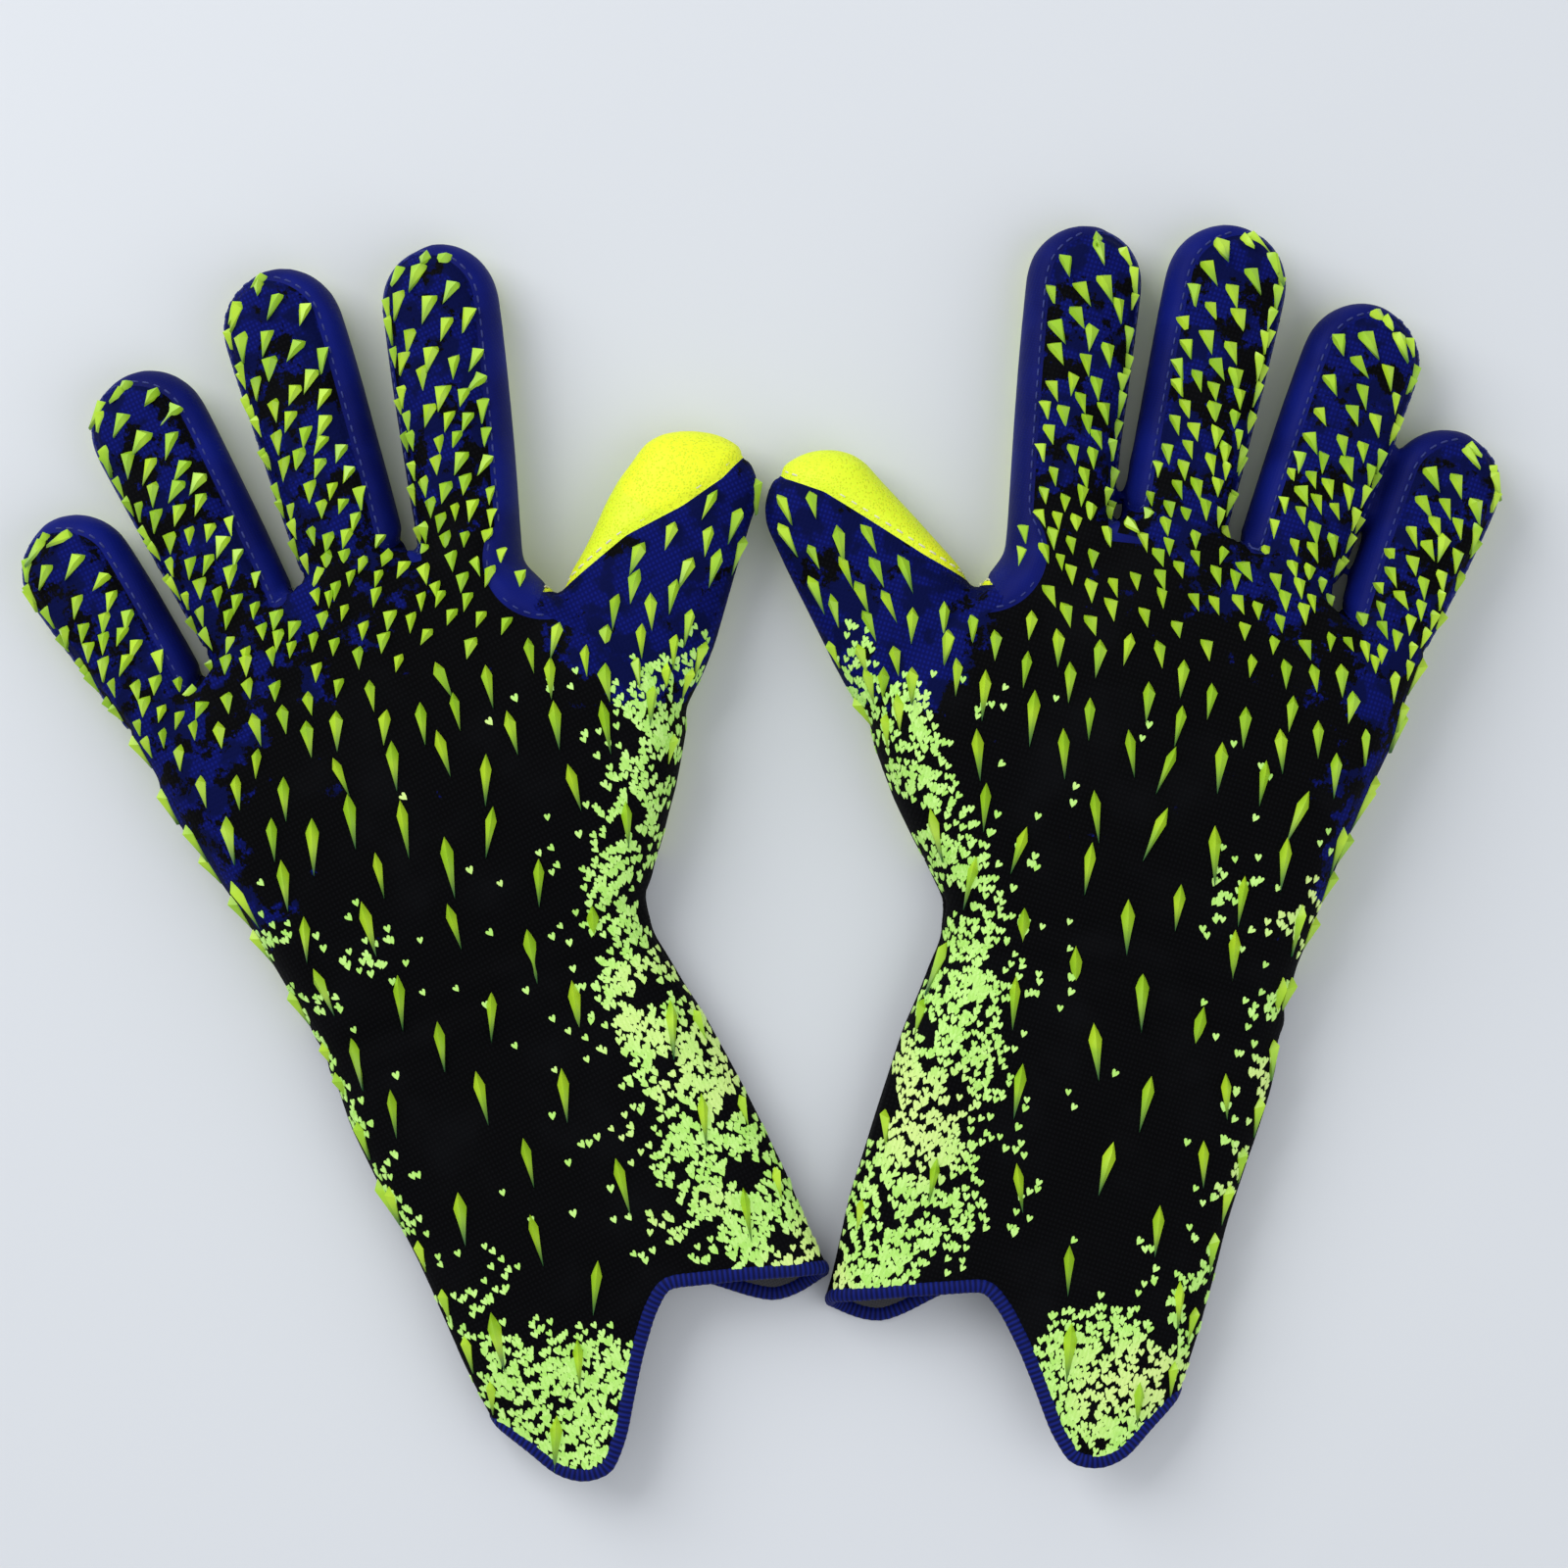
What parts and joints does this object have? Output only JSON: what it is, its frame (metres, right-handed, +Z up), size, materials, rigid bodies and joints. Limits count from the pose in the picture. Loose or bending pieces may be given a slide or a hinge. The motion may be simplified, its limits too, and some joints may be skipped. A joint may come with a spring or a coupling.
{
  "type": "goalkeeper gloves",
  "caption": "Pair of strapless slip-on goalkeeper gloves with latex palms, stretch gussets and a knitted back covered in small moulded rubber spikes.",
  "frame": {"origin": "centre of the bottom of the pair's bounding box, on the surface that the gloves lie on", "axes": "+Y towards the fingertips, +X towards the right-hand glove, +Z up out of the backs of the gloves"},
  "size_m": [0.3486, 0.2971, 0.0293],
  "materials": {
    "spiked_knit": "matte knit",
    "cuff_knit": "matte rib knit",
    "spikes": "satin moulded rubber",
    "latex": "matte foam",
    "gusset": "smooth stretch",
    "binding": "ribbed",
    "foam": "matte foam",
    "elastic": "woven elastic"
  },
  "bodies": {
    "left_hand": {"left_backhand_foam": "foam", "left_hand_back": "spiked_knit", "left_palm_latex": "latex", "left_thumb_web_gusset": "gusset"},
    "left_cuff": {"left_cuff_back": "cuff_knit", "left_cuff_palm": "cuff_knit", "left_hem_binding_back": "binding", "left_hem_binding_palm": "binding", "left_wrist_elastic": "elastic"},
    "left_index": {"left_index_back": "spiked_knit", "left_index_gusset_little_side": "gusset", "left_index_gusset_thumb_side": "gusset", "left_index_palm_latex": "latex"},
    "left_little": {"left_little_back": "spiked_knit", "left_little_gusset_little_side": "gusset", "left_little_gusset_thumb_side": "gusset", "left_little_palm_latex": "latex"},
    "left_middle": {"left_middle_back": "spiked_knit", "left_middle_gusset_little_side": "gusset", "left_middle_gusset_thumb_side": "gusset", "left_middle_palm_latex": "latex"},
    "left_ring": {"left_ring_back": "spiked_knit", "left_ring_gusset_little_side": "gusset", "left_ring_gusset_thumb_side": "gusset", "left_ring_palm_latex": "latex"},
    "left_thumb": {"left_thumb_back": "spiked_knit", "left_thumb_palm_latex": "latex"},
    "right_hand": {"right_backhand_foam": "foam", "right_hand_back": "spiked_knit", "right_palm_latex": "latex", "right_thumb_web_gusset": "gusset"},
    "right_cuff": {"right_cuff_back": "cuff_knit", "right_cuff_palm": "cuff_knit", "right_hem_binding_back": "binding", "right_hem_binding_palm": "binding", "right_wrist_elastic": "elastic"},
    "right_index": {"right_index_back": "spiked_knit", "right_index_gusset_little_side": "gusset", "right_index_gusset_thumb_side": "gusset", "right_index_palm_latex": "latex"},
    "right_little": {"right_little_back": "spiked_knit", "right_little_gusset_little_side": "gusset", "right_little_gusset_thumb_side": "gusset", "right_little_palm_latex": "latex"},
    "right_middle": {"right_middle_back": "spiked_knit", "right_middle_gusset_little_side": "gusset", "right_middle_gusset_thumb_side": "gusset", "right_middle_palm_latex": "latex"},
    "right_ring": {"right_ring_back": "spiked_knit", "right_ring_gusset_little_side": "gusset", "right_ring_gusset_thumb_side": "gusset", "right_ring_palm_latex": "latex"},
    "right_thumb": {"right_thumb_back": "spiked_knit", "right_thumb_palm_latex": "latex"}
  },
  "joints": [
    {"name": "right_glove_lift", "type": "slide", "parent": "left_hand", "child": "right_hand", "axis": [0, 0, 1], "range_m": [0, 0.2]},
    {"name": "left_index_knuckle", "type": "hinge", "parent": "left_hand", "child": "left_index", "pos_m": [-0.06772, 0.07094, 0.006], "axis": [-0.9925, -0.1219, 0], "range_deg": [-10, 60]},
    {"name": "left_middle_knuckle", "type": "hinge", "parent": "left_hand", "child": "left_middle", "pos_m": [-0.09552, 0.07045, 0.006], "axis": [-0.9563, -0.2924, 0], "range_deg": [-10, 60]},
    {"name": "left_ring_knuckle", "type": "hinge", "parent": "left_hand", "child": "left_ring", "pos_m": [-0.11938, 0.05525, 0.006], "axis": [-0.887, -0.4617, 0], "range_deg": [-10, 60]},
    {"name": "left_little_knuckle", "type": "hinge", "parent": "left_hand", "child": "left_little", "pos_m": [-0.13917, 0.03614, 0.006], "axis": [-0.8339, -0.5519, 0], "range_deg": [-10, 60]},
    {"name": "left_thumb_knuckle", "type": "hinge", "parent": "left_hand", "child": "left_thumb", "pos_m": [-0.02928, 0.05607, 0.006], "axis": [-0.8988, 0.4384, 0], "range_deg": [-10, 50]},
    {"name": "left_wrist_bend", "type": "hinge", "parent": "left_hand", "child": "left_cuff", "pos_m": [-0.06427, -0.02944, 0.009], "axis": [0.891, 0.454, 0], "range_deg": [-38, 38]},
    {"name": "right_index_knuckle", "type": "hinge", "parent": "right_hand", "child": "right_index", "pos_m": [0.07018, 0.07551, 0.006], "axis": [-0.9947, 0.1028, 0], "range_deg": [-10, 60]},
    {"name": "right_middle_knuckle", "type": "hinge", "parent": "right_hand", "child": "right_middle", "pos_m": [0.09767, 0.07966, 0.006], "axis": [-0.9767, 0.2147, 0], "range_deg": [-10, 60]},
    {"name": "right_ring_knuckle", "type": "hinge", "parent": "right_hand", "child": "right_ring", "pos_m": [0.12374, 0.06865, 0.006], "axis": [-0.9373, 0.3486, 0], "range_deg": [-10, 60]},
    {"name": "right_little_knuckle", "type": "hinge", "parent": "right_hand", "child": "right_little", "pos_m": [0.14643, 0.05312, 0.006], "axis": [-0.9212, 0.3891, 0], "range_deg": [-10, 60]},
    {"name": "right_thumb_knuckle", "type": "hinge", "parent": "right_hand", "child": "right_thumb", "pos_m": [0.03476, 0.05444, 0.006], "axis": [-0.8231, -0.5678, 0], "range_deg": [-10, 50]},
    {"name": "right_wrist_bend", "type": "hinge", "parent": "right_hand", "child": "right_cuff", "pos_m": [0.08353, -0.02404, 0.009], "axis": [0.9542, -0.299, 0], "range_deg": [-38, 38]}
  ]
}
